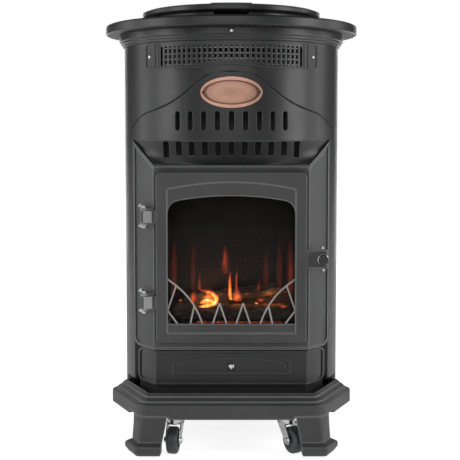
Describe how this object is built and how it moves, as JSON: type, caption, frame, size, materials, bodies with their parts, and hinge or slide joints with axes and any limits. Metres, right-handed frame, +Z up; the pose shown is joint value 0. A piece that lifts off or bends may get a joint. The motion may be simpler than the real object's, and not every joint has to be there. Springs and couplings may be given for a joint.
{
  "type": "portable gas cabinet heater",
  "caption": "Portable gas heater in the form of a small round cast stove on castors, with an arched glass door, log-effect fire, hinged lid and a gas bottle bay behind.",
  "frame": {"origin": "on the floor, under the middle of the overall box", "axes": "+Z up, -Y towards the user who faces the door, +X to that user's right"},
  "size_m": [0.5, 0.482, 0.84],
  "materials": {
    "cast_black": "matt black enamel on cast metal",
    "sheet_black": "matt black powder coat on sheet steel",
    "soot_black": "sooty matt black",
    "bright_steel": "bright plated",
    "dull_steel": "plain plated steel",
    "fret_grey": "grey, slightly rough",
    "copper": "brushed copper plate",
    "pipe_brass": "plain drawn tube",
    "valve_metal": "die cast",
    "knob_plastic": "fine matt grain",
    "button_plastic": "gloss",
    "heat_glass": "clear heat-proof glass",
    "seal_fibre": "woven glass-fibre tape",
    "log_ceramic": "charred bark texture",
    "ember_ceramic": "glowing coals",
    "tyre_rubber": "moulded rubber"
  },
  "bodies": {
    "cabinet": {"plinth": "cast_black", "leg_front_left": "cast_black", "leg_front_right": "cast_black", "leg_rear_left": "cast_black", "leg_rear_right": "cast_black", "top_plate": "cast_black", "neck_ring": "cast_black", "lid_collar": "cast_black", "front_frame": "cast_black", "lower_panel": "cast_black", "soffit": "cast_black", "hood_panel": "cast_black", "vent_grille": "cast_black", "hinge_brackets": "cast_black", "latch_keeper": "cast_black", "body_shell": "sheet_black", "cover_rails": "sheet_black", "bottle_shelf": "sheet_black", "partition": "sheet_black", "floor_pan": "sheet_black", "heat_deflector": "sheet_black", "control_pan": "sheet_black", "lid_hinge": "sheet_black", "riser_panel": "soot_black", "firebox": "soot_black", "burner_tray": "soot_black", "hinge_pins": "bright_steel", "castor_plates": "bright_steel", "body_screws": "bright_steel", "grille_wires": "dull_steel", "pilot_assembly": "dull_steel", "badge": "copper", "gas_pipe": "pipe_brass", "inlet_pipe": "pipe_brass", "gas_valve": "valve_metal", "igniter_body": "knob_plastic", "log_left": "log_ceramic", "log_right": "log_ceramic", "log_back": "log_ceramic", "ember_bed": "ember_ceramic"},
    "door": {"door_frame": "cast_black", "door_fret": "fret_grey", "door_seal": "seal_fibre", "door_glass": "heat_glass", "glass_clips": "dull_steel"},
    "latch": {"latch_knob": "bright_steel"},
    "lid": {"lid": "cast_black"},
    "rear_cover": {"rear_cover": "sheet_black"},
    "valve_bush": {"valve_bush": "pipe_brass"},
    "control_knob": {"control_knob": "knob_plastic"},
    "igniter_button": {"igniter_button": "button_plastic"},
    "castor_fork_front_left": {"castor_fork_front_left": "bright_steel"},
    "castor_wheel_front_left": {"castor_wheel_front_left": "tyre_rubber"},
    "castor_fork_front_right": {"castor_fork_front_right": "bright_steel"},
    "castor_wheel_front_right": {"castor_wheel_front_right": "tyre_rubber"},
    "castor_fork_rear_left": {"castor_fork_rear_left": "bright_steel"},
    "castor_wheel_rear_left": {"castor_wheel_rear_left": "tyre_rubber"},
    "castor_fork_rear_right": {"castor_fork_rear_right": "bright_steel"},
    "castor_wheel_rear_right": {"castor_wheel_rear_right": "tyre_rubber"}
  },
  "joints": [
    {"name": "door_hinge", "type": "hinge", "parent": "cabinet", "child": "door", "pos_m": [-0.163, -0.1575, 0.363], "axis": [0, 0, -1], "range_deg": [0, 110]},
    {"name": "latch_turn", "type": "hinge", "parent": "door", "child": "latch", "pos_m": [0.171, -0.161, 0.364], "axis": [0, 1, 0], "range_deg": [0, 90]},
    {"name": "lid_hinge", "type": "hinge", "parent": "cabinet", "child": "lid", "pos_m": [0, 0.182, 0.817], "axis": [-1, 0, 0], "range_deg": [0, 95]},
    {"name": "cover_lift", "type": "slide", "parent": "cabinet", "child": "rear_cover", "axis": [0, 0, 1], "range_m": [0, 0.012]},
    {"name": "control_turn", "type": "hinge", "parent": "cabinet", "child": "valve_bush", "pos_m": [0.045, -0.046, 0.757], "axis": [0, 0, 1], "range_deg": [0, 240]},
    {"name": "control_push", "type": "slide", "parent": "valve_bush", "child": "control_knob", "axis": [0, 0, -1], "range_m": [0, 0.004], "stiffness_N_per_m": 1000, "springref_m": -0.003},
    {"name": "igniter_push", "type": "slide", "parent": "cabinet", "child": "igniter_button", "axis": [0, 0, -1], "range_m": [0, 0.006], "stiffness_N_per_m": 1500, "springref_m": -0.004},
    {"name": "castor_swivel_front_left", "type": "hinge", "parent": "cabinet", "child": "castor_fork_front_left", "pos_m": [-0.106, -0.156, 0.058], "axis": [0, 0, 1], "continuous": true},
    {"name": "castor_roll_front_left", "type": "hinge", "parent": "castor_fork_front_left", "child": "castor_wheel_front_left", "pos_m": [-0.10906, -0.17779, 0.025], "axis": [0.9903, -0.1392, 0], "continuous": true},
    {"name": "castor_swivel_front_right", "type": "hinge", "parent": "cabinet", "child": "castor_fork_front_right", "pos_m": [0.106, -0.156, 0.058], "axis": [0, 0, 1], "continuous": true},
    {"name": "castor_roll_front_right", "type": "hinge", "parent": "castor_fork_front_right", "child": "castor_wheel_front_right", "pos_m": [0.11633, -0.17542, 0.025], "axis": [0.8829, 0.4695, 0], "continuous": true},
    {"name": "castor_swivel_rear_left", "type": "hinge", "parent": "cabinet", "child": "castor_fork_rear_left", "pos_m": [-0.106, 0.132, 0.058], "axis": [0, 0, 1], "continuous": true},
    {"name": "castor_roll_rear_left", "type": "hinge", "parent": "castor_fork_rear_left", "child": "castor_wheel_rear_left", "pos_m": [-0.11057, 0.11048, 0.025], "axis": [0.9781, -0.2079, 0], "continuous": true},
    {"name": "castor_swivel_rear_right", "type": "hinge", "parent": "cabinet", "child": "castor_fork_rear_right", "pos_m": [0.106, 0.132, 0.058], "axis": [0, 0, 1], "continuous": true},
    {"name": "castor_roll_rear_right", "type": "hinge", "parent": "castor_fork_rear_right", "child": "castor_wheel_rear_right", "pos_m": [0.11206, 0.11085, 0.025], "axis": [0.9613, 0.2756, 0], "continuous": true}
  ]
}
